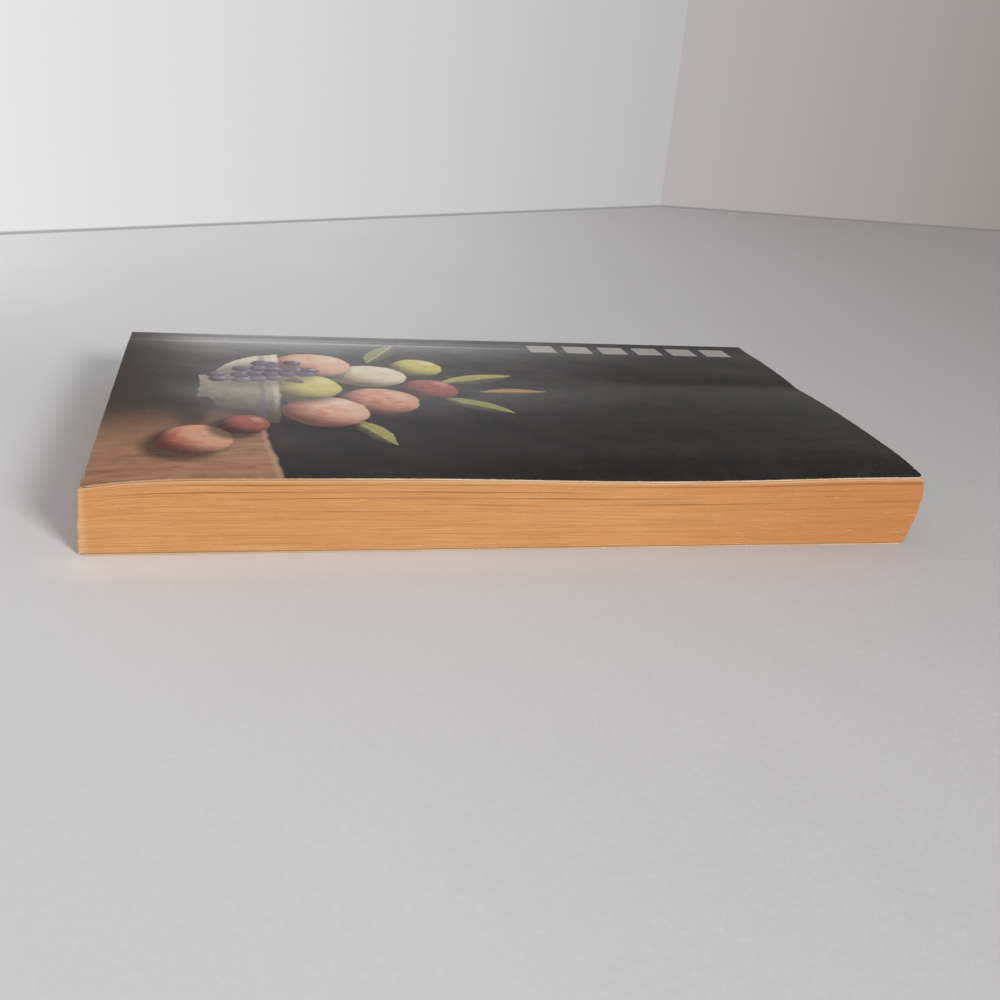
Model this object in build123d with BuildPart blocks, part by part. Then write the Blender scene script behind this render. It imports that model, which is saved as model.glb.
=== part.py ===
"""A read mass-market paperback, lying shut on its back cover.

X runs from the tail to the head, Y from the fore-edge to the spine and Z up. The back cover lies on
Z = 0, with the middle of the book over the origin. Sizes are in millimetres.
"""

import os
from math import cos, pi

from build123d import *

# Trimmed size of the leaves and the card round them
book_height = 175.0
book_width = 105.0
block_thickness = 14.7  # the leaves where they are pressed and glued, at the spine
card_thickness = 0.3
glue_thickness = 0.8

# The card is glued to the first and the last leaf as far as its two hinge creases
hinge_inset = 6.0  # from the outside of the spine to a hinge crease
crease_gap = 0.2  # between a glued strip and its free panel
cover_gap = 0.15  # air between a free panel and the leaves
worn_corner = 1.5  # radius that wear has given the free corners

# The foot of the book has crept this far towards the tail
lean = 1.3

# Distances of the bends that reading has left across the front, from the spine or the fore-edge
arch_from_spine = 18.0
bend_from_spine = 41.0
crown_from_fore_edge = 13.0

# How far the leaves stand above the hinge crease at those bends and at the fore-edge
arch_rise = 0.45
bend_rise = 0.15
crown_rise = 0.85
fore_edge_rise = 0.65
bend_slope = 0.08  # of both sides of the bend, which is a sharp crease
edge_steepness = 1.5  # slope at the fore-edge, against a straight line from the crown

# The fore-edge sags in the middle of a long stretch
sag_depth = 0.7
sag_from_head = 60.0
sag_half_length = 55.0

# The head has lifted and the tail has dropped, most of all at its free corner
head_crown_lift = 0.9
head_edge_lift = 0.25
head_lift_length = 50.0
tail_bend_drop = 0.25
tail_bend_slope = 0.02
tail_crown_drop = 1.4
tail_corner_drop = 2.1
tail_drop_length = 16.0

# Gatherings of leaves, which stand a little apart at the trimmed edges, most at the top
gathering_count = 10
top_gap_depth = 1.2
low_gap_depth = 0.3
top_gap_opening = 0.24
low_gap_opening = 0.08
end_gap_depth = 0.4

# Cross-sections that the bent forms are drawn through, and how far these reach past a trimmed edge
section_count = 15
trim_margin = 1.0

fore_edge_y = -book_width / 2
spine_y = book_width / 2
hinge_y = spine_y - hinge_inset
panel_y = hinge_y - crease_gap
arch_y = spine_y - arch_from_spine
bend_y = spine_y - bend_from_spine
crown_y = fore_edge_y + crown_from_fore_edge
glue_y = spine_y - card_thickness
leaf_end_y = glue_y - glue_thickness
block_foot = card_thickness
block_top = block_foot + block_thickness
book_top = block_top + card_thickness
leaves_foot = block_foot + cover_gap
leaves_top = block_top - cover_gap
tail_x = -book_height / 2
head_x = book_height / 2
rough_height = book_height + 2 * trim_margin

# Places of the cross-sections, and heights of the gaps between gatherings as shares of the block
section_places = [tail_x - trim_margin + rough_height * i / (section_count - 1) for i in range(section_count)]
gap_shares = [number / gathering_count for number in range(gathering_count - 1, 0, -1)]


def fade(distance, reach):
    """Fall smoothly from 1 at no distance to 0 at reach."""
    return (1 + cos(pi * min(abs(distance) / reach, 1))) / 2


def leaf_curve(place, share=1.0, above=0.0):
    """Draw one leaf's curve across the book at a place on X, and return its two ends.

    It runs from the hinge crease to the fore-edge. share is the leaf's height in the block, and above
    lifts the whole curve.
    """
    sag = fade(head_x - sag_from_head - place, sag_half_length)
    lift = fade(max(head_x - place, 0), head_lift_length)
    drop = fade(max(place - tail_x, 0), tail_drop_length)
    bend = bend_rise - drop * tail_bend_drop
    crease_slope = bend_slope - drop * (bend_slope - tail_bend_slope)
    crown = crown_rise + lift * head_crown_lift - drop * tail_crown_drop
    fore_edge = fore_edge_rise - sag * sag_depth + lift * head_edge_lift - drop * tail_corner_drop
    edge_slope = edge_steepness * (crown - fore_edge) / crown_from_fore_edge
    # Each stretch: where it starts and ends on Y, its rises there and its slopes there
    stretches = [
        (panel_y, arch_y, 0, arch_rise, 0, 0),
        (arch_y, bend_y, arch_rise, bend, 0, crease_slope),
        (bend_y, crown_y, bend, crown, -crease_slope, 0),
        (crown_y, fore_edge_y, crown, fore_edge, 0, edge_slope),
    ]
    ends = []
    for start_y, end_y, start_rise, end_rise, start_slope, end_slope in stretches:
        third = (end_y - start_y) / 3
        rises = (start_rise, start_rise + third * start_slope, end_rise - third * end_slope, end_rise)
        heights = [leaves_foot + share * (leaves_top - leaves_foot + rise) + above for rise in rises]
        stretch = Bezier(*[(start_y + third * step, height) for step, height in enumerate(heights)])
        ends += [stretch @ 0, stretch @ 1]
    return ends[0], ends[-1]


def trim(rough_y):
    """Cut the part in hand at the head and the tail, and at rough_y, with the lean of the book."""
    with BuildSketch(Plane.XY.offset(book_top / 2)) as outline:
        with Locations((0, rough_y)):
            Rectangle(book_height, 2 * book_width, align=(Align.CENTER, Align.MIN))
        if rough_y == fore_edge_y:
            fillet(outline.vertices().sort_by(Axis.Y)[:2], radius=worn_corner)
    extrude(outline.sketch, amount=2 * book_top, dir=(lean, 0, book_top), both=True, mode=Mode.INTERSECT)


# The leaves: one block, flat below, bent above, with open lines between the gatherings
with BuildPart() as page_block:
    for place in section_places:
        with BuildSketch(Plane.YZ.offset(place)):
            with BuildLine():
                leaf_start, leaf_end = leaf_curve(place)
                edge = [leaf_end]
                for share in gap_shares:
                    gap_height = leaves_foot + share * (leaf_end.Y - leaves_foot)
                    gap_depth = low_gap_depth + share * (top_gap_depth - low_gap_depth)
                    half_opening = (low_gap_opening + share * (top_gap_opening - low_gap_opening)) / 2
                    edge.append((fore_edge_y, gap_height + half_opening))
                    edge.append((fore_edge_y + gap_depth, gap_height))
                    edge.append((fore_edge_y, gap_height - half_opening))
                Polyline(
                    *edge,
                    (fore_edge_y, leaves_foot),
                    (hinge_y, leaves_foot),
                    (hinge_y, block_foot),
                    (leaf_end_y, block_foot),
                    (leaf_end_y, block_top),
                    (hinge_y, block_top),
                    (hinge_y, leaves_top),
                    leaf_start,
                )
            make_face()
    loft()
    trim(fore_edge_y - trim_margin)
    for side in (-1, 1):
        for share in gap_shares:
            trimmed_x = side * book_height / 2 + lean * (share - 0.5)
            with BuildSketch(Plane.YZ.offset(trimmed_x + side * trim_margin)):
                with BuildLine():
                    lower = leaf_curve(trimmed_x, share, -low_gap_opening / 2)
                    upper = leaf_curve(trimmed_x, share, low_gap_opening / 2)
                    Line(lower[0], upper[0])
                    Line(lower[1], upper[1])
                make_face()
            extrude(amount=-side * (trim_margin + end_gap_depth), mode=Mode.SUBTRACT)
page_block.part.label = "page_block"

# Hot glue along the back of the leaves, rounded over by the card
with BuildPart() as spine_glue:
    with BuildSketch(Plane.YZ.offset(tail_x - trim_margin)):
        with BuildLine():
            foot = CenterArc((leaf_end_y, block_foot + glue_thickness), glue_thickness, -90, 90)
            top = CenterArc((leaf_end_y, block_top - glue_thickness), glue_thickness, 0, 90)
            Line(foot @ 1, top @ 0)
            Line(top @ 1, foot @ 0)
        make_face()
    extrude(amount=rough_height)
    trim(fore_edge_y - trim_margin)
spine_glue.part.label = "spine_glue"

# The middle of the card: the spine panel and the two strips glued to the block
with BuildPart() as spine_cover:
    with BuildSketch(Plane.YZ.offset(tail_x - trim_margin)):
        with BuildLine() as middle:
            half = card_thickness / 2
            FilletPolyline(
                (hinge_y, half),
                (spine_y - half, half),
                (spine_y - half, book_top - half),
                (hinge_y, book_top - half),
                radius=glue_thickness + half,
            )
        trace(middle.line, card_thickness)
    extrude(amount=rough_height)
    trim(fore_edge_y - trim_margin)
spine_cover.part.label = "spine_cover"

# The front panel lies on the leaves and follows their bends
with BuildPart() as front_cover:
    for place in section_places:
        with BuildSketch(Plane.YZ.offset(place)):
            with BuildLine():
                inside = leaf_curve(place, above=cover_gap)
                outside = leaf_curve(place, above=cover_gap + card_thickness)
                Line(inside[0], outside[0])
                Line(inside[1], outside[1])
            make_face()
    loft()
    trim(fore_edge_y)
front_cover.part.label = "front_cover"

# The back panel lies flat under the block
with BuildPart() as back_cover:
    with BuildSketch(Plane.YZ.offset(tail_x - trim_margin)):
        with Locations((panel_y, 0)):
            Rectangle(panel_y - fore_edge_y + trim_margin, card_thickness, align=(Align.MAX, Align.MIN))
    extrude(amount=rough_height)
    trim(fore_edge_y)
back_cover.part.label = "back_cover"

os.makedirs("parts", exist_ok=True)
for piece in (page_block, spine_glue, spine_cover, front_cover, back_cover):
    export_step(piece.part, f"parts/{piece.part.label}.step")
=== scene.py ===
"""A read paperback, lying shut on its back cover on a pale table."""

import math

import bpy
import numpy as np
from mathutils import Matrix
from mathutils.bvhtree import BVHTree


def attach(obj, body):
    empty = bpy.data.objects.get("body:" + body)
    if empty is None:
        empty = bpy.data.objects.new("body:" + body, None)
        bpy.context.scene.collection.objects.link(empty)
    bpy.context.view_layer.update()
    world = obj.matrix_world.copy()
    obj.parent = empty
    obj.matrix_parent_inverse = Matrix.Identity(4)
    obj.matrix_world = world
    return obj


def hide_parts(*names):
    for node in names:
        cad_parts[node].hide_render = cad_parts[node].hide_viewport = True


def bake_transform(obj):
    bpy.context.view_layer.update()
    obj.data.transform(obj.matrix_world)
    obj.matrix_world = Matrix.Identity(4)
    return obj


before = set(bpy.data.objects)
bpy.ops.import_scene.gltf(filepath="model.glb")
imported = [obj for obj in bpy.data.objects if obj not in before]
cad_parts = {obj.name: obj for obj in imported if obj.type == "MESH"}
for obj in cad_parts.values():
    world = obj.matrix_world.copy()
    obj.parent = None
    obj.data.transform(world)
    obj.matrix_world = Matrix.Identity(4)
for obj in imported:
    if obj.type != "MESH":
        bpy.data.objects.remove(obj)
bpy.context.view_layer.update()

# Leaves
# About 150 leaves of cheap wood-pulp paper, cut square on three sides and glued along the fourth.
# Age has tanned them orange at the cut edges, and reading has opened gaps between their gatherings.
mm = 0.001
leaf_count = 150
leaf_width = 103.9 * mm
leaf_length = 175 * mm
leaf_fill = 0.9  # a leaf's share of the room it has in the stack
fore_edge_y = -52.5 * mm
hinge_y = 46.4 * mm
block_foot = 0.3 * mm
block_thickness = 14.7 * mm
cover_gap = 0.15 * mm
book_top = 15.3 * mm
stack_drop = 0.02 * mm  # air between the stack and the cards above and below it
lean = 1.3 * mm  # how far the top of the book stands towards the head from its foot

# The front is pressed down along the spine, most of all towards the tail
press_start_y = 34.5 * mm
press_reach = 18 * mm
press_depth = 0.3 * mm
press_at_middle = 0.55  # share of that depth half way along the book
press_towards_tail = 0.45  # how much more at the tail, and less at the head

# The cut ends stand out in the middle of the block, and have slid out at the free corners
head_swell = 1.15 * mm
tail_swell = 0.2 * mm
end_swell_reach = 60 * mm
head_corner_slip = 0.55 * mm
tail_corner_slip = 0.45 * mm
corner_slip_reach = 14 * mm
head_slip_level = 0.84  # share of the book's height at which the head has slid out most
head_slip_spread = 0.5

# Depths of the gaps between gatherings, from the top down, and how far each stands open
gap_depths = [1.0, 2.4, 3.7, 5.0, 6.4, 8.0, 9.7, 11.4, 13.1]
gap_openings = [0.13, 0.18, 0.15, 0.11, 0.06, 0.04, 0.04, 0.03, 0.03]
gap_reach = 5 * mm  # how far a gap runs in from the fore-edge
end_gap_reach = 10 * mm
end_gap_share = 0.4  # of its opening that a gap has at the head and the tail
least_gap = 0.04
tail_closing = 0.8  # how far the gaps close at the tail
tail_closing_reach = 34 * mm
top_gap_at_head = 1.6  # how far the topmost gap stands open at the head
top_gap_reach = 110 * mm
gap_line_spread = 1.3  # leaves beside a gap over which its line of painted shade fades

# How far the cut edges of gatherings and leaves stand back, by chance
gathering_inset = 0.16
leaf_inset = 0.12
leaf_inset_power = 1.5
edge_inset = 0.06 * mm
edge_ripple = 0.05 * mm
wander = np.random.default_rng(7)


def solid_of(node):
    """A CAD node's faces, ready for straight lines to be shot at them."""
    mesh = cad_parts[node].data
    return BVHTree.FromPolygons([v.co for v in mesh.vertices], [p.vertices for p in mesh.polygons])


def heights_over(solid, xs, ys, low, high):
    """Height of a solid's upper side over each point, taken a little inside its rim and corners."""
    over_book = 0.1
    down = (0, 0, -1)
    inside_corner = (0.98, 0.97)
    found = []
    for x, y in zip(np.clip(xs, low[0], high[0]), np.clip(ys, low[1], high[1])):
        place = solid.ray_cast((x, y, over_book), down)[0]
        if place is None:
            place = solid.ray_cast((x * inside_corner[0], y * inside_corner[1], over_book), down)[0]
        found.append(place.z)
    return np.array(found)


def points_of(piece):
    """A mesh's points as an array with one row each."""
    flat = np.empty(len(piece.data.vertices) * 3)
    piece.data.vertices.foreach_get("co", flat)
    return flat.reshape(-1, 3)


def put_points(piece, points):
    """Move a mesh's points to the rows of an array."""
    piece.data.vertices.foreach_set("co", points.ravel())
    piece.data.update()


def cut_across(places, axis):
    """Cut the mesh in edit mode straight across at each place on an axis."""
    normal = tuple(1 if number == axis else 0 for number in range(3))
    for place in places:
        bpy.ops.mesh.select_all(action="SELECT")
        point = tuple(place if number == axis else 0 for number in range(3))
        bpy.ops.mesh.bisect(plane_co=point, plane_no=normal, threshold=1e-7)


def fade(distance, reach):
    """Fall smoothly from 1 at no distance to 0 at reach."""
    return (1 + np.cos(math.pi * np.clip(distance / reach, 0, 1))) / 2


def spine_slope(x, y):
    """How far the front has been pressed down along the spine."""
    towards_spine = np.clip((y - press_start_y) / press_reach, 0, 1) ** 2
    return press_depth * towards_spine * (press_at_middle - press_towards_tail * x / (leaf_length / 2))


class Ink:
    """One shader socket. Sums and products of these add Math nodes."""

    def __init__(self, tree, socket=None):
        self.tree = tree
        self.socket = socket

    def node(self, kind, settings, sockets, output=0):
        """Add a node with its settings and the values or links of its sockets, and return one output."""
        made = self.tree.nodes.new("ShaderNode" + kind)
        for name, value in settings.items():
            setattr(made, name, value)
        for name, value in sockets.items():
            socket = next(s for s in made.inputs if s.identifier == name)
            if isinstance(value, Ink):
                self.tree.links.new(value.socket, socket)
            else:
                socket.default_value = value
        return Ink(self.tree, made.outputs[output])

    def math(self, operation, *values):
        return self.node("Math", {"operation": operation}, dict(zip(("Value", "Value_001"), values)))

    def __add__(self, other):
        return self.math("ADD", self, other)

    __radd__ = __add__

    def __sub__(self, other):
        return self.math("SUBTRACT", self, other)

    def __rsub__(self, other):
        return self.math("SUBTRACT", other, self)

    def __mul__(self, other):
        return self.math("MULTIPLY", self, other)

    __rmul__ = __mul__

    def __abs__(self):
        return self.math("ABSOLUTE", self)

    def least(self, other):
        return self.math("MINIMUM", self, other)

    def most(self, other):
        return self.math("MAXIMUM", self, other)

    def step(self, low, high):
        """Rise smoothly from 0 at low to 1 at high."""
        ends = {"Value": self, "From Min": low, "From Max": high}
        return self.node("MapRange", {"interpolation_type": "SMOOTHSTEP"}, ends)

    def mix(self, without, within):
        """Go from one colour to another as this value goes from 0 to 1."""
        ends = {"Factor_Float": self, "A_Color": without, "B_Color": within}
        colour_output = 2
        return self.node("Mix", {"data_type": "RGBA"}, ends, colour_output)

    def noise(self, scale, detail=3, roughness=0.5):
        """Cloudy noise on this vector, from 0 to 1."""
        sockets = {"Vector": self, "Scale": scale, "Detail": detail, "Roughness": roughness}
        return self.node("TexNoise", {}, sockets)

    def vector(self, x, y, z):
        return self.node("CombineXYZ", {}, {"X": x, "Y": y, "Z": z})

    def part(self, number):
        """One of this vector's three values."""
        return self.node("SeparateXYZ", {}, {"Vector": self}, number)

    def bump(self, strength, distance):
        """A surface that this value raises and sinks."""
        return self.node("Bump", {}, {"Strength": strength, "Distance": distance, "Height": self})

    def feed(self, shader, name):
        self.tree.links.new(self.socket, shader.inputs[name])


def new_finish(name):
    """Start a material, and return it with a blank Ink and its shader."""
    made = bpy.data.materials.new(name)
    made.use_nodes = True
    return made, Ink(made.node_tree), made.node_tree.nodes["Principled BSDF"]


# Faces of the leaves: pale inside, browner towards the three cut edges
pale_paper = (0.66, 0.5, 0.32, 1)
tanned_paper = (0.5, 0.26, 0.1, 1)
fibre_brown = (0.6, 0.42, 0.24, 1)
tanning_reach = 16 * mm
tanning_spread = 12 * mm
page_face, ink, shader = new_finish("page_face")
place = ink.node("TexCoord", {}, {}, "Object")
end_distance = leaf_length / 2 - abs(place.part(0))
edge_distance = end_distance.least(place.part(1) - fore_edge_y)
blotch = place.noise(60, 4)
tanning = (edge_distance + (blotch - 0.5) * tanning_spread).step(tanning_reach, 0)
fibre = place.noise(1800, 2)
paper = tanning.mix(pale_paper, tanned_paper)
paper = (fibre.step(0.35, 0.75) * 0.3).mix(paper, fibre_brown)
paper.feed(shader, "Base Color")
(0.82 + fibre * 0.14).feed(shader, "Roughness")
fibre.bump(0.25, 0.05 * mm).feed(shader, "Normal")
shader.inputs["Specular IOR Level"].default_value = 0.2

# Cut edges of the leaves: orange tan, streaked along the leaves, with pale flecks of torn fibre
dull_tan = (0.53, 0.252, 0.096, 1)
bright_tan = (0.61, 0.31, 0.129, 1)
patch_tan = (0.54, 0.246, 0.087, 1)
shaded_head_tan = (0.465, 0.192, 0.067, 1)
dark_streak = (0.36, 0.155, 0.052, 1)
pale_streak = (0.66, 0.39, 0.19, 1)
torn_fibre = (0.74, 0.52, 0.32, 1)
gap_shade_brown = (0.25, 0.1, 0.032, 1)
top_leaf_tan = (0.64, 0.44, 0.28, 1)
rubbed_corner = (0.68, 0.45, 0.27, 1)
page_edge, ink, shader = new_finish("page_edge")
place = ink.node("TexCoord", {}, {}, "Object")
along = place.part(0)
across = place.part(1)
leaf_number = ink.node("Attribute", {"attribute_name": "leaf_number"}, {}, "Fac")
gap_shade = ink.node("Attribute", {"attribute_name": "gap_shade"}, {}, "Fac")


def leaf_noise(pace, leaf_pace, start, detail, roughness=0.5):
    """Noise with one pace along the leaves and another from leaf to leaf."""
    on_edge = ink.vector(along * pace, across * pace, leaf_number * leaf_pace + start)
    return on_edge.noise(1, detail, roughness)


streaks = leaf_noise(80, 0.42, 0, 3, 0.55)
short_streaks = leaf_noise(230, 0.8, 40, 3, 0.6)
breaks = leaf_noise(55, 0.06, 20, 2).step(0.4, 0.58)
flecks = leaf_noise(330, 0.35, 90, 2)
patches = leaf_noise(16, 0.025, 0, 2)
tan = streaks.step(0.3, 0.7).mix(dull_tan, bright_tan)
tan = (patches.step(0.4, 0.7) * 0.5).mix(tan, patch_tan)
# Painted shade: the fore-edge grows darker towards the head
tan = (along.step(10 * mm, 90 * mm) * 0.9).mix(tan, shaded_head_tan)
tan = (short_streaks.step(0.58, 0.72) * 0.42).mix(tan, dark_streak)
tan = (short_streaks.step(0.42, 0.28) * 0.35).mix(tan, pale_streak)
tan = (flecks.step(0.67, 0.76) * 0.5).mix(tan, torn_fibre)
# Painted shade: brown lines on the leaves beside the gaps between gatherings, where the gaps stand open
gap_line = gap_shade * breaks.most(gap_shade.step(0.4, 0.7))
tan = (gap_line * 0.85).mix(tan, gap_shade_brown)
tan = (leaf_number.step(143.5, 147) * 0.6).mix(tan, top_leaf_tan)
tail_corner = (along + leaf_length / 2).step(1.5 * mm, 0) * across.step(-50 * mm, -52.3 * mm)
tan = (tail_corner * 0.45).mix(tan, rubbed_corner)
tan.feed(shader, "Base Color")
(0.78 + streaks * 0.2).feed(shader, "Roughness")
(streaks + short_streaks + flecks * 0.4).bump(0.25, 0.1 * mm).feed(shader, "Normal")
shader.inputs["Specular IOR Level"].default_value = 0.05

# One leaf: a flat sheet with cuts where the block bends, closest together at the drooping tail
tail_cuts = [-85.5, -83, -80.5, -77.5, -74]
even_cuts = list(np.linspace(-70, 83.6, 36))
bend_cuts = [-50.4, -39.5, -14, 11.5, 34.5]
flat_thickness = 0.1 * mm
bpy.ops.object.select_all(action="DESELECT")
bpy.ops.mesh.primitive_cube_add(size=1, location=(0, fore_edge_y + leaf_width / 2, 0))
leaf = bpy.context.object
leaf.scale = (leaf_length, leaf_width, flat_thickness)
bpy.ops.object.transform_apply(location=True, rotation=True, scale=True)
bpy.ops.object.mode_set(mode="EDIT")
cut_across([place * mm for place in tail_cuts + even_cuts], 0)
cut_across([place * mm for place in bend_cuts], 1)
bpy.ops.object.mode_set(mode="OBJECT")
leaf.data.materials.append(page_face)
leaf.data.materials.append(page_edge)
for face in leaf.data.polygons:
    face.material_index = 0 if abs(face.normal.z) > 0.5 else 1

# The room that the stack has over each point of a leaf, and the gaps' share of it
block_low = (-86.6 * mm, -52.2 * mm)
block_high = (86.6 * mm, 51.2 * mm)
flat = points_of(leaf)
flat_x = flat[:, 0]
flat_y = flat[:, 1]
upper = flat[:, 2] > 0
block = solid_of("page_block")
roof = heights_over(block, flat_x, flat_y, block_low, block_high) - stack_drop
roof -= spine_slope(flat_x, flat_y)
floor_of_stack = np.where(flat_y > hinge_y, block_foot, block_foot + cover_gap) + stack_drop
room = roof - floor_of_stack
along = flat_x / leaf_length + 0.5
from_fore_edge = flat_y - fore_edge_y
from_end = leaf_length / 2 - np.abs(flat_x)
openness = np.maximum(fade(from_fore_edge, gap_reach), end_gap_share * fade(from_end, end_gap_reach))
open_at_tail = 1 - tail_closing * fade(along * leaf_length, tail_closing_reach)
gap_waves = []
for number in range(len(gap_openings)):
    long_wave = np.cos(wander.uniform(1.2, 2.6) * math.pi * along + wander.uniform(0, 2 * math.pi))
    short_wave = np.cos(wander.uniform(5, 9) * math.pi * along + wander.uniform(0, 2 * math.pi))
    waves = (0.5 + 0.38 * long_wave + 0.28 * short_wave).clip(least_gap)
    gap_waves.append(waves * open_at_tail)
open_at_head = top_gap_at_head * fade((1 - along) * leaf_length, top_gap_reach)
gap_waves[0] = np.maximum(gap_waves[0], open_at_head)
gaps = [opening * mm * openness * wave for opening, wave in zip(gap_openings, gap_waves)]
pitch = (room - sum(gaps)) / leaf_count
gathering_tops = [1 - depth * mm / block_thickness for depth in gap_depths]
on_fore_edge = from_fore_edge < 0.01 * mm
on_tail = along < 0.001
on_head = along > 0.999
gathering_insets = wander.uniform(0, gathering_inset, len(gap_openings) + 1) * mm

# The stack: copies of that leaf, each laid on the ones below it and cut a little differently
copies = []
for number in range(leaf_count):
    below = [gap for gap, top in zip(gaps, gathering_tops) if number / leaf_count >= top]
    height = floor_of_stack + pitch * (number + leaf_fill * upper) + sum(below)
    level = height / book_top
    leaning = lean * (level - 0.5)
    swell = fade(from_fore_edge, end_swell_reach) * np.sin(math.pi * np.clip(level, 0, 1))
    corner = fade(from_fore_edge, corner_slip_reach)
    head_slip = head_corner_slip * corner * fade(np.abs(level - head_slip_level), head_slip_spread)
    tail_slip = tail_corner_slip * corner * level
    head_x = leaf_length / 2 + leaning + head_swell * swell + head_slip
    tail_x = -leaf_length / 2 + leaning - tail_swell * swell - tail_slip
    inset = gathering_insets[len(below)] + wander.uniform(0, leaf_inset) ** leaf_inset_power * mm
    ripple = edge_ripple * np.cos(wander.uniform(3, 9) * along * math.pi + wander.uniform(0, 6))
    x = tail_x + (head_x - tail_x) * along
    x += np.where(on_tail, inset, 0) - np.where(on_head, inset, 0)
    y = flat_y + np.where(on_fore_edge, inset + ripple + edge_inset, 0)
    copy = leaf.copy()
    copy.data = leaf.data.copy()
    bpy.context.collection.objects.link(copy)
    put_points(copy, np.column_stack((x, y, height)))
    mark = copy.data.attributes.new("leaf_number", "FLOAT", "POINT")
    mark.data.foreach_set("value", np.full(len(flat), number, np.float32))
    # Painted shade for the gap lines: strongest on the leaves next to each gap, and as wide as it stands
    # open
    shade = np.zeros(len(flat))
    for opening, top, wave in zip(gap_openings, gathering_tops, gap_waves):
        beside = abs(number + 0.5 - top * leaf_count)
        shade += opening / max(gap_openings) * wave * math.exp(-beside / gap_line_spread)
    mark = copy.data.attributes.new("gap_shade", "FLOAT", "POINT")
    mark.data.foreach_set("value", shade.clip(0, 1).astype(np.float32))
    copies.append(copy)
bpy.data.objects.remove(leaf)
for copy in copies:
    copy.select_set(True)
bpy.context.view_layer.objects.active = copies[0]
bpy.ops.object.join()
leaves = bpy.context.object
leaves.name = "leaves"
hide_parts("page_block")
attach(leaves, "text_block")

# Spine glue
# A film of hot glue, spread over the roughened backs of the leaves and set under the card.
# Only its two cut ends show, at the head and the tail.
dark_glue = (0.42, 0.3, 0.15, 1)
pale_glue = (0.6, 0.48, 0.28, 1)
glue, ink, shader = new_finish("spine_glue")
clouds = ink.node("TexCoord", {}, {}, "Object").noise(900, 3)
clouds.step(0.35, 0.7).mix(dark_glue, pale_glue).feed(shader, "Base Color")
(0.45 + clouds * 0.25).feed(shader, "Roughness")
clouds.bump(0.3, 0.1 * mm).feed(shader, "Normal")
glue_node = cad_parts["spine_glue"]
glue_node.data.materials.clear()
glue_node.data.materials.append(glue)

# Front cover and spine
# One printed and varnished card, 0.3 mm thick, wrapped round the block and glued to its back.
# It bends at the hinge crease near the spine, and its free corners are worn round.
card_thickness = 0.3 * mm
book_height = 175 * mm
spine_y = 52.5 * mm
fold_radius = 1.1 * mm
fold_steps = 8
worn_corner = 1.6 * mm
corner_cuts = [0.2, 0.45, 0.8, 1.2, 1.6]
crease_reach = 3 * mm
crease_cuts = 10
bend_y = 11.5 * mm
fold_length = fold_radius * math.pi / 2
fold_start = spine_y - fold_radius
spine_flat = book_top - 2 * fold_radius
foot_fold_start = fold_start + fold_length + spine_flat
sheet_end = foot_fold_start + fold_length


def fold_lines(start):
    """Lines across the flat card about which it turns, a little at each, to go round one corner."""
    return [start + fold_length * (number + 0.5) / fold_steps for number in range(fold_steps)]


def card_sheet(name, end_y, height):
    """A flat card from the fore-edge to end_y, with close cuts at its crease and its worn corners."""
    bpy.ops.object.select_all(action="DESELECT")
    middle = (0, (fore_edge_y + end_y) / 2, height)
    bpy.ops.mesh.primitive_grid_add(x_subdivisions=72, y_subdivisions=50, size=1, location=middle)
    sheet = bpy.context.object
    sheet.name = name
    sheet.scale = (book_height, end_y - fore_edge_y, 1)
    bpy.ops.object.transform_apply(location=True, rotation=True, scale=True)
    ends = [book_height / 2 - cut * mm for cut in corner_cuts]
    bpy.ops.object.mode_set(mode="EDIT")
    cut_across(ends + [-end for end in ends], 0)
    cut_across([fore_edge_y + cut * mm for cut in corner_cuts], 1)
    cut_across(np.linspace(hinge_y - crease_reach, hinge_y, crease_cuts), 1)
    bpy.ops.object.mode_set(mode="OBJECT")
    points = points_of(sheet)
    # The square of card at each free corner is drawn in to a quarter of a disc
    out_x = np.abs(points[:, 0]) - (book_height / 2 - worn_corner)
    out_y = fore_edge_y + worn_corner - points[:, 1]
    in_corner = (out_x > 0) & (out_y > 0)
    drawn_in = 1 - np.maximum(out_x, out_y) / np.hypot(out_x, out_y)
    points[:, 0] -= np.where(in_corner, np.sign(points[:, 0]) * out_x * drawn_in, 0)
    points[:, 1] += np.where(in_corner, out_y * drawn_in, 0)
    put_points(sheet, points)
    return sheet


def apply_modifier(piece, kind, **settings):
    """Add a modifier to the active piece and apply it."""
    bpy.ops.object.modifier_add(type=kind)
    modifier = piece.modifiers[-1]
    for name, value in settings.items():
        setattr(modifier, name, value)
    bpy.ops.object.modifier_apply(modifier=modifier.name)


def even_out(piece, group, iterations):
    """Smooth the heights of the active piece, as far as a vertex group says."""
    apply_modifier(
        piece, "SMOOTH", iterations=iterations, factor=0.5, use_x=False, use_y=False, vertex_group=group
    )


def thicken(piece, finishes):
    """Give a sheet the card's thickness, with its printed side, its inside and its cut edge finished."""
    for finish in finishes:
        piece.data.materials.append(finish)
    apply_modifier(
        piece,
        "SOLIDIFY",
        thickness=card_thickness,
        offset=-1,
        material_offset=1,
        material_offset_rim=2,
    )
    bpy.ops.object.shade_smooth_by_angle(angle=math.radians(40))


front_card = card_sheet("front_and_spine_card", sheet_end, book_top)
bpy.ops.object.mode_set(mode="EDIT")
cut_across(np.linspace(fold_start, fold_start + fold_length, fold_steps + 1), 1)
cut_across(np.linspace(foot_fold_start, sheet_end, fold_steps + 1)[:-1], 1)
bpy.ops.object.mode_set(mode="OBJECT")

# The panel takes the bends of the block that it lies on
panel_end_y = hinge_y - 0.2 * mm
panel_low = (-86.8 * mm, -52.4 * mm)
panel_high = (88.1 * mm, 46.2 * mm)
points = points_of(front_card)
flat_y = points[:, 1].copy()
front_solid = solid_of("front_cover")
roof = heights_over(front_solid, points[:, 0] + lean / 2, flat_y, panel_low, panel_high)
points[:, 2] = np.where(flat_y < panel_end_y, roof, book_top)
points[:, 2] -= spine_slope(points[:, 0], np.minimum(flat_y, spine_y))
put_points(front_card, points)

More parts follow.
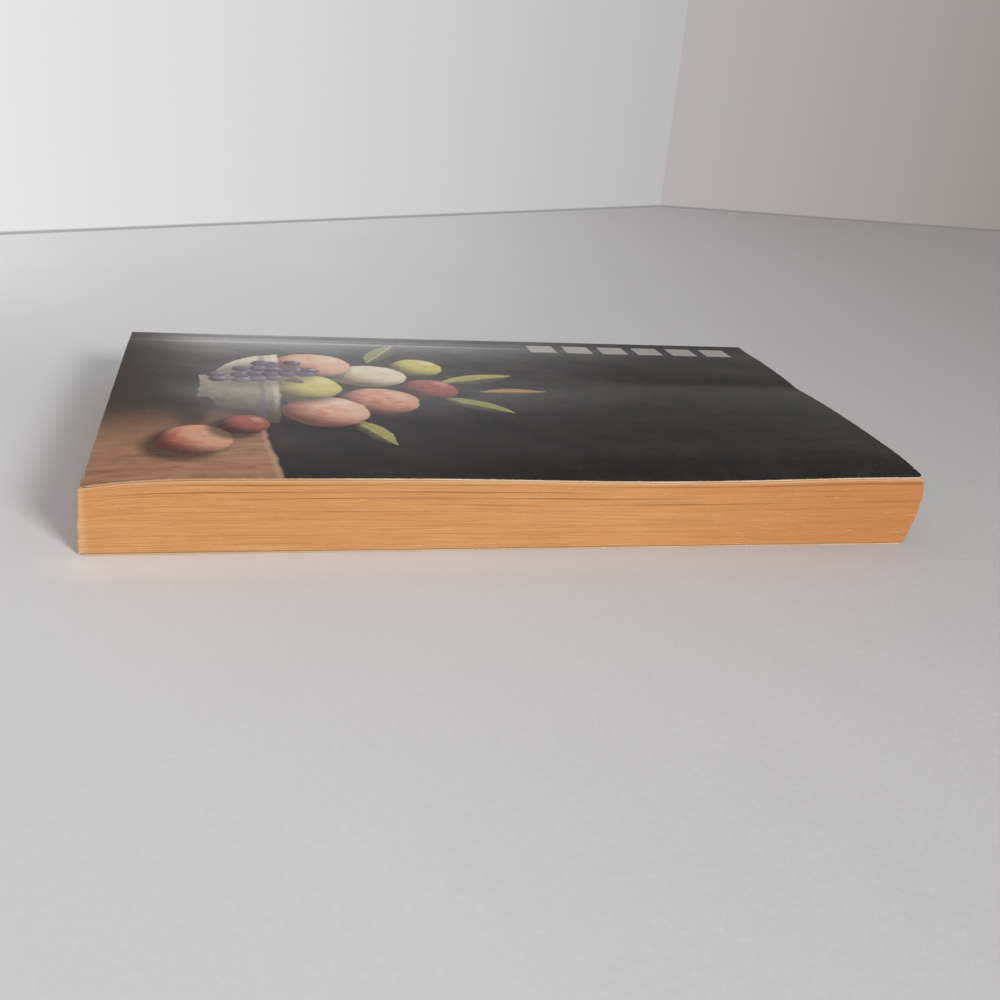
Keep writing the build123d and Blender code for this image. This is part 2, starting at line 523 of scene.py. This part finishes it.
# It is evened out, but for its rim, which keeps the droop of its tail corner
rim_reach = 12 * mm
rim_hold = 0.85
inner = front_card.vertex_groups.new(name="inner")
from_rim = np.minimum(book_height / 2 - np.abs(points[:, 0]), flat_y - fore_edge_y)
evenness = 1 - rim_hold * fade(from_rim, rim_reach)
for number, weight in enumerate(evenness):
    inner.add([number], float(weight), "REPLACE")
even_out(front_card, "inner", 4)

# The reading crease is sharp towards the head only
soft_start_x = -20 * mm
soft_length = 75 * mm
soft_width = 36 * mm
deepest_sink = 0.1 * mm
soft_bend = front_card.vertex_groups.new(name="soft_bend")
softness = fade(np.abs(flat_y - bend_y), soft_width) * fade(points[:, 0] - soft_start_x, soft_length)
for number in np.flatnonzero(softness > 0.01):
    soft_bend.add([int(number)], float(softness[number]), "REPLACE")
lowest = points_of(front_card)[:, 2] - deepest_sink
even_out(front_card, "soft_bend", 250)
front_card.vertex_groups.clear()
points = points_of(front_card)
points[:, 2] = np.maximum(points[:, 2], lowest)
put_points(front_card, points)

# The card goes down round the back of the block and turns under its foot, a few degrees at a time
fold_angle = math.pi / 2 / fold_steps
bpy.ops.object.mode_set(mode="EDIT")
bpy.ops.mesh.select_mode(type="VERT")
for line in sorted(fold_lines(fold_start) + fold_lines(foot_fold_start), reverse=True):
    bpy.ops.mesh.select_all(action="DESELECT")
    bpy.ops.object.mode_set(mode="OBJECT")
    front_card.data.vertices.foreach_set("select", flat_y > line)
    bpy.ops.object.mode_set(mode="EDIT")
    bpy.ops.transform.rotate(value=fold_angle, orient_axis="X", center_override=(0, line, book_top))
bpy.ops.object.mode_set(mode="OBJECT")
points = points_of(front_card)
points[:, 0] += lean * (points[:, 2] / book_top - 0.5)
put_points(front_card, points)

# The print: a dark ground, a brown table along the tail, and a plain bowl of fruit on it. Its places
# are in millimetres, up from the middle of the card and over from the middle of the book
card_height = book_height / mm
fore_edge_over = fore_edge_y / mm
dark_ground = (0.013, 0.0118, 0.0112, 1)
pale_ground = (0.026, 0.0215, 0.019, 1)
dark_wood = (0.24, 0.12, 0.066, 1)
pale_wood = (0.4, 0.213, 0.125, 1)
wood_in_shade = (0.034, 0.024, 0.019, 1)
wood_rim = (0.46, 0.28, 0.18, 1)
table_end_up = -57.2
cover_print, ink, shader = new_finish("cover_print")


def place_on_card(ink, end_y):
    """Places up and over a card that reaches from the fore-edge to end_y, from its UV map."""
    uv = ink.node("UVMap", {"uv_map": "UVMap"}, {})
    up = uv.part(0) * card_height - card_height / 2
    over = uv.part(1) * ((end_y - fore_edge_y) / mm) + fore_edge_over
    return up, over


up, over = place_on_card(ink, sheet_end)
on_card = ink.vector(up, over, 0)
brush = on_card.noise(0.1, 3, 0.6)
daubs = on_card.noise(0.35, 3, 0.6)
strokes = ink.vector(up * 0.25, over * 1.1, 7).noise(0.5, 4, 0.65)
painted_up = up + (brush - 0.5) * 2.5 + (daubs - 0.5) * 0.9
painted_over = over + (strokes - 0.5) * 1.2
painted = ink.vector(painted_up, painted_over, 0)
colour = (brush * 0.6 + strokes * 0.4).step(0.38, 0.7).mix(dark_ground, pale_ground)
wood = strokes.step(0.25, 0.75).mix(dark_wood, pale_wood)
table_light = (painted_over + (strokes - 0.5) * 16).step(-6, -36)
past_end = painted_up + painted_over * 0.12 - table_end_up
colour = past_end.step(1.2, 0).mix(colour, table_light.mix(wood_in_shade, wood))
colour = (abs(past_end).step(0.9, 0.2) * table_light * 0.5).mix(colour, wood_rim)


def on_shape(high, wide, tall, broad, turn=0, vector=painted):
    """The print's own coordinates, centred on one shape, with 1 at its ends."""
    sockets = {
        "Vector": vector,
        "Location": (high, wide, 0),
        "Rotation": (0, 0, turn),
        "Scale": (tall, broad, 1),
    }
    return ink.node("Mapping", {"vector_type": "TEXTURE"}, sockets)


def length_of(vector):
    return ink.node("VectorMath", {"operation": "LENGTH"}, {"Vector": vector}, "Value")


# Sprigs: the place of each up and over the card, half its length and breadth, its turn and its tint
sprigs = [
    (-1, 13, 11, 3.6, 0.35, (0.36, 0.33, 0.1, 1)),
    (-4, -8, 10, 3.4, -0.6, (0.26, 0.27, 0.08, 1)),
    (-23, 34, 10, 3.4, 1.1, (0.24, 0.24, 0.08, 1)),
    (7, 3, 9, 2.6, 0.05, (0.4, 0.2, 0.08, 1)),
    (-30, -27, 9, 3.2, -1.1, (0.34, 0.31, 0.1, 1)),
]
sprig_in_shade = (0.07, 0.065, 0.028, 1)
sprig_rib = (0.5, 0.46, 0.2, 1)
for high, wide, tall, broad, turn, tint in sprigs:
    inside = on_shape(high, wide, tall, broad, turn)
    length = inside.part(0)
    breadth = inside.part(1)
    leaf_shape = (1 - length * length - abs(breadth)).step(0, 0.12)
    leaf_tint = (breadth + (daubs - 0.5) * 1.2).step(-0.5, 0.4).mix(sprig_in_shade, tint)
    leaf_tint = (abs(breadth).step(0.14, 0.04) * 0.5).mix(leaf_tint, sprig_rib)
    colour = leaf_shape.mix(colour, leaf_tint)

# Fruit: each tint lit, blushing and in shade, then each fruit's place, half its height and breadth
peach = ((0.6, 0.31, 0.19, 1), (0.5, 0.13, 0.09, 1), (0.1, 0.028, 0.018, 1))
pale_peach = ((0.64, 0.4, 0.28, 1), (0.57, 0.22, 0.16, 1), (0.14, 0.045, 0.03, 1))
lemon = ((0.56, 0.47, 0.13, 1), (0.42, 0.38, 0.12, 1), (0.09, 0.07, 0.018, 1))
cream = ((0.64, 0.57, 0.42, 1), (0.58, 0.44, 0.28, 1), (0.15, 0.1, 0.055, 1))
plum = ((0.34, 0.09, 0.06, 1), (0.24, 0.05, 0.05, 1), (0.04, 0.011, 0.01, 1))
grape = ((0.1, 0.085, 0.13, 1), (0.15, 0.05, 0.07, 1), (0.009, 0.008, 0.011, 1))
glint = (0.82, 0.76, 0.66, 1)
fruit_shadow = (0.012, 0.008, 0.007, 1)
lamp_way = (0.5, 0.5, 0)
lamp_out = 0.7
fruit_in_bowl = [
    (-15, 22, 7, 7.5, lemon),
    (-14, 4, 7.5, 8, plum),
    (-28, 14, 10, 9, cream),
    (-27, -6, 9.5, 10, peach),
    (-42, 22, 10.5, 10.5, pale_peach),
    (-40, -14, 10, 10.5, pale_peach),
    (-44, 4, 9, 10, lemon),
]
fallen_fruit = [(-68, -32, 8, 8.5, peach), (-58, -23, 5.5, 6, plum)]


def skin_of(inside, distance, tints):
    """Colour of one round fruit, lit from the upper left, with 1 as the distance at its outline."""
    lit, blush, shaded = tints
    bulge = ink.math("SQRT", (1 - distance * distance).most(0))
    sockets = {"Vector": inside, "Vector_001": lamp_way}
    facing = ink.node("VectorMath", {"operation": "DOT_PRODUCT"}, sockets, "Value")
    light = facing + bulge * lamp_out + (strokes - 0.5) * 0.35
    skin = (brush * 0.5 + daubs * 0.5 - facing * 0.25).step(0.4, 0.66).mix(lit, blush)
    skin = light.step(0.78, -0.12).mix(skin, shaded)
    return (light.step(0.9, 1.06) * 0.4).mix(skin, glint)


def rounded(colour, high, wide, tall, broad, tints):
    """Paint one round fruit and its shadow, on the side away from the light."""
    cast = length_of(on_shape(high - 2, wide - 2.5, tall, broad)).step(1.3, 0.8) * 0.75
    colour = cast.mix(colour, fruit_shadow)
    inside = on_shape(high, wide, tall, broad)
    distance = length_of(inside)
    return distance.step(1.0, 0.94).mix(colour, skin_of(inside, distance, tints))


for shape in fruit_in_bowl:
    colour = rounded(colour, *shape)

# The bowl, with its foot, its band and its lip
bowl_shadow = (0.014, 0.009, 0.007, 1)
bowl_in_shade = (0.075, 0.056, 0.042, 1)
bowl_lit = (0.56, 0.5, 0.38, 1)
band_blue = (0.09, 0.1, 0.12, 1)
lip_lit = (0.68, 0.62, 0.49, 1)
bowl_shade = length_of(on_shape(-69, 1, 5, 30)).step(1.2, 0.6) * 0.7
colour = bowl_shade.mix(colour, bowl_shadow)
bowl = on_shape(-50, 4, 17, 27)
bowl_up = bowl.part(0)
bowl_over = bowl.part(1)
bowl_shape = length_of(bowl).step(1.0, 0.97) * bowl_up.step(0.02, -0.04)
foot_shape = abs(bowl_over).step(0.33, 0.31) * abs(bowl_up + 1.0).step(0.1, 0.07)
bowl_light = (bowl_over + bowl_up * 0.35 + (daubs - 0.5) * 0.35).step(-0.95, 0.6)
band = abs(bowl_up + 0.24).step(0.05, 0.03) * 0.45
bowl_colour = band.mix(bowl_light.mix(bowl_in_shade, bowl_lit), band_blue)
colour = bowl_shape.most(foot_shape).mix(colour, bowl_colour)
lip = abs(bowl_up + 0.04).step(0.07, 0.03) * abs(bowl_over).step(1.02, 0.99)
colour = (lip * bowl_light * 0.7).mix(colour, lip_lit)

# A bunch of grapes hangs over the bowl, and two fruits have fallen beside it
berry_radius = 2.5
bunch_shadow = (0.014, 0.01, 0.009, 1)
cells = {"Vector": painted, "Scale": 0.23, "Randomness": 0.55}
berry_middle = ink.node("TexVoronoi", {"voronoi_dimensions": "2D"}, cells, "Position")
ends = {"Vector": painted, "Vector_001": berry_middle}
from_middle = ink.node("VectorMath", {"operation": "SUBTRACT"}, ends)
berry = ink.node("VectorMath", {"operation": "SCALE"}, {"Vector": from_middle, "Scale": 1 / berry_radius})
berry_distance = length_of(berry)
in_bunch = length_of(on_shape(-53, 15, 13, 9, 0.3, berry_middle)).step(1.0, 0.97)
bunch_shade = length_of(on_shape(-54, 13.5, 16, 12, 0.3)).step(1.05, 0.6) * 0.6
colour = bunch_shade.mix(colour, bunch_shadow)
grapes = in_bunch * berry_distance.step(1.0, 0.92)
colour = grapes.mix(colour, skin_of(berry, berry_distance, grape))
for shape in fallen_fruit:
    colour = rounded(colour, *shape)

# Six plain pale bars near the spine
bar_starts = [20, 30.5, 41, 51.5, 62, 72.5]
bar_length = 8
bar_low = 39.5
bar_high = 47.6
bar_blur = 0.5
bar_pale = (0.4, 0.38, 0.34, 1)
for start in bar_starts:
    end = start + bar_length
    bar = up.step(start, start + bar_blur) * up.step(end, end - bar_blur)
    bar = bar * over.step(bar_low, bar_low + bar_blur) * over.step(bar_high, bar_high - bar_blur)
    colour = (bar * 0.85).mix(colour, bar_pale)

# Wear: pale fibre at the rubbed rim, dust and small scuffs, and a faint line along the reading crease
worn_fibre = (0.45, 0.36, 0.27, 1)
rim = (card_height / 2 - abs(up)).least(over - fore_edge_over)
rubbing = on_card.noise(0.8, 4, 0.7)
rubbed = (rim + (rubbing - 0.5) * -1.5).step(0.16, -0.14)
specks = on_card.noise(2.6, 2).step(0.76, 0.82) * 0.5
dust = on_card.noise(1.3, 3).step(0.5, 0.8) * 0.05
crease = abs(over - bend_y / mm + (brush - 0.5) * 2).step(1.8, 0.2)
crease = crease * up.step(5, 70) * brush.step(0.32, 0.6) * 0.03
wear = rubbed.most(specks).most(dust + crease)
wear.mix(colour, worn_fibre).feed(shader, "Base Color")
(0.16 + rubbing * 0.16 + wear * 0.3).feed(shader, "Roughness")
relief = on_card.noise(0.05, 2) * 2 + rubbing * 0.06 + wear * 0.06
relief.bump(0.35, 0.25 * mm).feed(shader, "Normal")

# Inside of the card: plain unprinted board, browned towards its cut edges, with a few rusty specks
board_height = 175
board_width = 112
pale_board = (0.68, 0.58, 0.42, 1)
browned_board = (0.56, 0.4, 0.23, 1)
rusty_board = (0.45, 0.29, 0.15, 1)
board_fibre = (0.72, 0.64, 0.5, 1)
card_inside, ink, shader = new_finish("card_inside")
uv = ink.node("UVMap", {"uv_map": "UVMap"}, {})
board_up = uv.part(0) * board_height
board_over = uv.part(1) * board_width
board = ink.vector(board_up, board_over, 0)
board_rim = (board_height / 2 - abs(board_up - board_height / 2)).least(board_over)
tanning = (board_rim + (board.noise(0.06, 4, 0.6) - 0.5) * 16).step(20, 0)
foxing = board.noise(0.9, 2).step(0.74, 0.8) * 0.35
grain = board.noise(3, 3)
board_colour = tanning.mix(pale_board, browned_board)
board_colour = foxing.mix(board_colour, rusty_board)
board_colour = (grain.step(0.4, 0.7) * 0.25).mix(board_colour, board_fibre)
board_colour.feed(shader, "Base Color")
(0.7 + grain * 0.2).feed(shader, "Roughness")
grain.bump(0.2, 0.05 * mm).feed(shader, "Normal")


def cut_edge(name, pale, tanned, at_tail):
    """Cut edge of the card: torn fibre, pale here and tanned there, most of all towards the tail."""
    edge_fibre = (0.76, 0.65, 0.52, 1)
    edge_width = 121
    made, ink, shader = new_finish(name)
    uv = ink.node("UVMap", {"uv_map": "UVMap"}, {})
    board = ink.vector(uv.part(0) * board_height, uv.part(1) * edge_width, 0)
    stain = board.noise(0.09, 3)
    grain = board.noise(2, 3)
    edge_colour = stain.step(0.38, 0.62).mix(pale, tanned)
    edge_colour = (grain.step(0.5, 0.7) * 0.5).mix(edge_colour, edge_fibre)
    edge_colour = (uv.part(0).step(0.34, 0.2) * 0.9).mix(edge_colour, at_tail)
    edge_colour.feed(shader, "Base Color")
    (0.75 + grain * 0.2).feed(shader, "Roughness")
    grain.bump(0.4, 0.08 * mm).feed(shader, "Normal")
    return made


card_edge = cut_edge("card_edge", (0.66, 0.5, 0.35, 1), (0.56, 0.35, 0.19, 1), (0.46, 0.25, 0.12, 1))
thicken(front_card, (cover_print, card_inside, card_edge))
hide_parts("front_cover", "spine_cover")
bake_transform(front_card)

# Back cover
# The other end of the same card: it lies flat under the block, glued as far as its own hinge crease.
# Its seam with the spine is under the foot of the book, where nothing shows.
dark_back = (0.012, 0.011, 0.011, 1)
pale_back = (0.032, 0.026, 0.022, 1)
back_card = card_sheet("back_card", fold_start, 0)
bpy.ops.object.mode_set(mode="EDIT")
bpy.ops.mesh.select_all(action="SELECT")
bpy.ops.mesh.flip_normals()
bpy.ops.object.mode_set(mode="OBJECT")
points = points_of(back_card)
points[:, 0] -= lean / 2
put_points(back_card, points)
back_print, ink, shader = new_finish("back_print")
up, over = place_on_card(ink, fold_start)
on_card = ink.vector(up, over, 0)
brush = on_card.noise(0.11, 4, 0.6)
rubbing = on_card.noise(0.8, 4, 0.7)
colour = brush.step(0.35, 0.75).mix(dark_back, pale_back)
rim = (card_height / 2 - abs(up)).least(over - fore_edge_over)
rubbed = (rim + (rubbing - 0.5) * -2).step(0.2, -0.15)
specks = on_card.noise(2.6, 2).step(0.76, 0.82) * 0.5
wear = rubbed.most(specks)
wear.mix(colour, worn_fibre).feed(shader, "Base Color")
(0.16 + rubbing * 0.16 + wear * 0.3).feed(shader, "Roughness")
relief = on_card.noise(0.05, 2) * 2 + rubbing * 0.06
relief.bump(0.35, 0.25 * mm).feed(shader, "Normal")
foot_edge = cut_edge("foot_edge", (0.5, 0.36, 0.24, 1), (0.5, 0.27, 0.12, 1), (0.5, 0.31, 0.17, 1))
thicken(back_card, (back_print, card_inside, foot_edge))
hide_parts("back_cover")
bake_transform(back_card)

# Table
# A plain pale table top with a dull finish, for the book to lie on. It isn't part of the book.
# Painted light and shade: it is lighter towards the left and the far side, as the photograph shows it.
table_size = 5
table_drop = 0.05 * mm
near_left_tone = (0.7, 0.695, 0.7, 1)
near_right_tone = (0.28, 0.262, 0.258, 1)
far_left_tone = (0.88, 0.875, 0.88, 1)
far_right_tone = (0.345, 0.322, 0.317, 1)
far_corner_tone = (1, 0.99, 0.99, 1)
thrown_tone = (0.86, 0.8, 0.74, 1)
mottle_tone = (0.3, 0.3, 0.3, 1)
grain_tone = (0.75, 0.745, 0.75, 1)
clear_within = 4 * mm
bpy.ops.object.select_all(action="DESELECT")
bpy.ops.mesh.primitive_plane_add(size=table_size, location=(0, 0, -table_drop))
table_top = bpy.context.object
table_top.name = "table_top"
table_finish, ink, shader = new_finish("table_finish")
place = ink.node("TexCoord", {}, {}, "Object")
along = place.part(0)
across = place.part(1)
# Painted light and shade: the table is lighter to the left and the far side, brightest at the far left
# corner
rightness = along.step(-0.3, 0.42)
near_tone = rightness.mix(near_left_tone, near_right_tone)
far_tone = rightness.mix(far_left_tone, far_right_tone)
pale = across.step(0.02, 0.42).mix(near_tone, far_tone)
far_left = along.step(-0.05, -0.17) * across.step(0.02, 0.25)
pale = (far_left * 0.77).mix(pale, far_corner_tone)
# The tanned leaves throw a warm light on the table before the fore-edge
before_book = across.step(-0.066, -0.055) * across.step(0, -0.04)
thrown = before_book * along.step(-0.1, -0.085) * along.step(0.1, -0.1)
pale = (thrown * 0.42).mix(pale, thrown_tone)
pale = (place.noise(14, 3).step(0.35, 0.7) * 0.05).mix(pale, mottle_tone)
pale = (place.noise(900, 3).step(0.45, 0.75) * 0.12).mix(pale, grain_tone)
pale.feed(shader, "Base Color")
shader.inputs["Roughness"].default_value = 0.45
shader.inputs["Specular IOR Level"].default_value = 0.5
# From below, and right under the book, the table is clear, so that the foot of the book can be seen
from_below = ink.node("NewGeometry", {}, {}, "Backfacing")
ray_length = ink.node("LightPath", {}, {}, "Ray Length")
unseen = from_below.most(ink.math("LESS_THAN", ray_length, clear_within))
clear = ink.node("BsdfTransparent", {}, {})
solid_top = Ink(table_finish.node_tree, shader.outputs["BSDF"])
one_sided = ink.node("MixShader", {}, {"Fac": unseen, "Shader": solid_top, "Shader_001": clear})
one_sided.feed(table_finish.node_tree.nodes["Material Output"], "Surface")
table_top.data.materials.append(table_finish)

# Walls
# Two plain pale walls behind the table, glowing with painted light that is brighter towards the left,
# and with a painted shadow along their foot. They aren't part of the book, and only the camera sees
# them, and only from inside the room.
wall_corner = (193.5 * mm, 421.8 * mm)
wall_height = 0.6
foot_shadow_tone = (0.16, 0.16, 0.165, 1)
# Each wall: its name, where its other end stands, where its tone starts and stops changing, its tones
walls = (
    ("left_wall", (-0.6, 0.026), 0.1, 1.25, (1.0, 1.0, 1.01, 1), (0.42, 0.41, 0.41, 1)),
    ("right_wall", (0.9, 0.34), -0.15, 0.55, (0.483, 0.458, 0.456, 1), (0.262, 0.234, 0.213, 1)),
)
for name, foot, dims_from, dims_to, left_tone, right_tone in walls:
    bpy.ops.mesh.primitive_plane_add(size=1, location=(0, 0, 0))
    wall = bpy.context.object
    wall.name = name
    ends = sorted((foot, wall_corner))
    corners = [(*end, height) for height in (0, wall_height) for end in ends]
    put_points(wall, np.array(corners))
    wall_finish = bpy.data.materials.new(name)
    wall_finish.use_nodes = True
    tree = wall_finish.node_tree
    tree.nodes.clear()
    ink = Ink(tree)
    on_wall = ink.node("TexCoord", {}, {}, "UV")
    # Painted light: each wall glows from its left tone to its right tone, and a painted shadow darkens
    # its foot
    tone = on_wall.part(0).step(dims_from, dims_to).mix(left_tone, right_tone)
    foot_shadow = (on_wall.part(1) * wall_height).step(1.8 * mm, 0.8 * mm) * 0.6
    glow = ink.node("Emission", {}, {"Color": foot_shadow.mix(tone, foot_shadow_tone)})
    clear = ink.node("BsdfTransparent", {}, {})
    behind = ink.node("NewGeometry", {}, {}, "Backfacing")
    both = ink.node("MixShader", {}, {"Fac": behind, "Shader": glow, "Shader_001": clear})
    both.feed(tree.nodes.new("ShaderNodeOutputMaterial"), "Surface")
    wall.data.materials.append(wall_finish)
    wall.visible_diffuse = False
    wall.visible_glossy = False
    wall.visible_transmission = False
    wall.visible_shadow = False

# Light
# Soft daylight from the right and in front, in a pale room that the varnish mirrors near the horizon.
# What the varnish mirrors is brightest low on the far side, and the lamps themselves aren't mirrored.
plain_room = (0.56, 0.56, 0.565, 1)
far_room_right = (0.22, 0.22, 0.215, 1)
far_room_left = (0.27, 0.267, 0.263, 1)
high_room = (0.08, 0.08, 0.08, 1)
bright_wall = (1.8, 1.79, 1.79, 1)
room_light = bpy.data.worlds.new("room_light")
room_light.use_nodes = True
bpy.context.scene.world = room_light
sky = Ink(room_light.node_tree)
background = room_light.node_tree.nodes["Background"]
heading = sky.node("TexCoord", {}, {}, "Generated")
sideways = heading.part(0)
away = heading.part(1)
height = heading.part(2)
glossy = sky.node("LightPath", {}, {}, "Is Glossy Ray")
far_room = sideways.step(0.1, -0.08).mix(far_room_right, far_room_left)
dim_sky = height.step(0.42, 0.2).mix(high_room, far_room)
low_sky = height.step(0.27, 0.23).mix(dim_sky, bright_wall)
bright_side = sideways.step(-0.085, -0.035) * sideways.step(0.38, 0.02) * away.step(0, 0.4)
mirrored = bright_side.mix(dim_sky, low_sky)
glossy.mix(plain_room, mirrored).feed(background, "Color")
background.inputs["Strength"].default_value = 1
# Each lamp: its name, place, size and power
lamps = (
    ("window", (0.97, -1.74, 0.95), 0.5, 45),
    ("ceiling", (-0.1, 0.1, 1.3), 1.2, 1),
)
for name, spot, size, power in lamps:
    bpy.ops.object.light_add(type="AREA", location=spot)
    lamp = bpy.context.object
    lamp.name = name
    lamp.data.size = size
    lamp.data.energy = power
    lamp.rotation_euler = (-lamp.location).to_track_quat("-Z", "Y").to_euler()
    lamp.visible_glossy = False

# Camera
# Where the photograph was taken from, low in front of the fore-edge and a little to the left.
# Its place and turn were fitted to the corners of the book and of the room.
eye = (-55.99 * mm, -255.48 * mm, 101.22 * mm)
rightwards = (0.976199, -0.200006, 0.083867)
upwards = (0.004269, 0.404349, 0.914595)
backwards = (-0.216836, -0.892468, 0.395579)
camera_data = bpy.data.cameras.new("camera")
camera_data.sensor_width = 36
camera_data.lens = 40.41
camera_data.clip_start = 0.01
camera = bpy.data.objects.new("camera", camera_data)
bpy.context.collection.objects.link(camera)
turn = Matrix((rightwards, upwards, backwards)).transposed()
camera.matrix_world = Matrix.Translation(eye) @ turn.to_4x4()
bpy.context.scene.camera = camera
bpy.context.scene.view_settings.view_transform = "Standard"
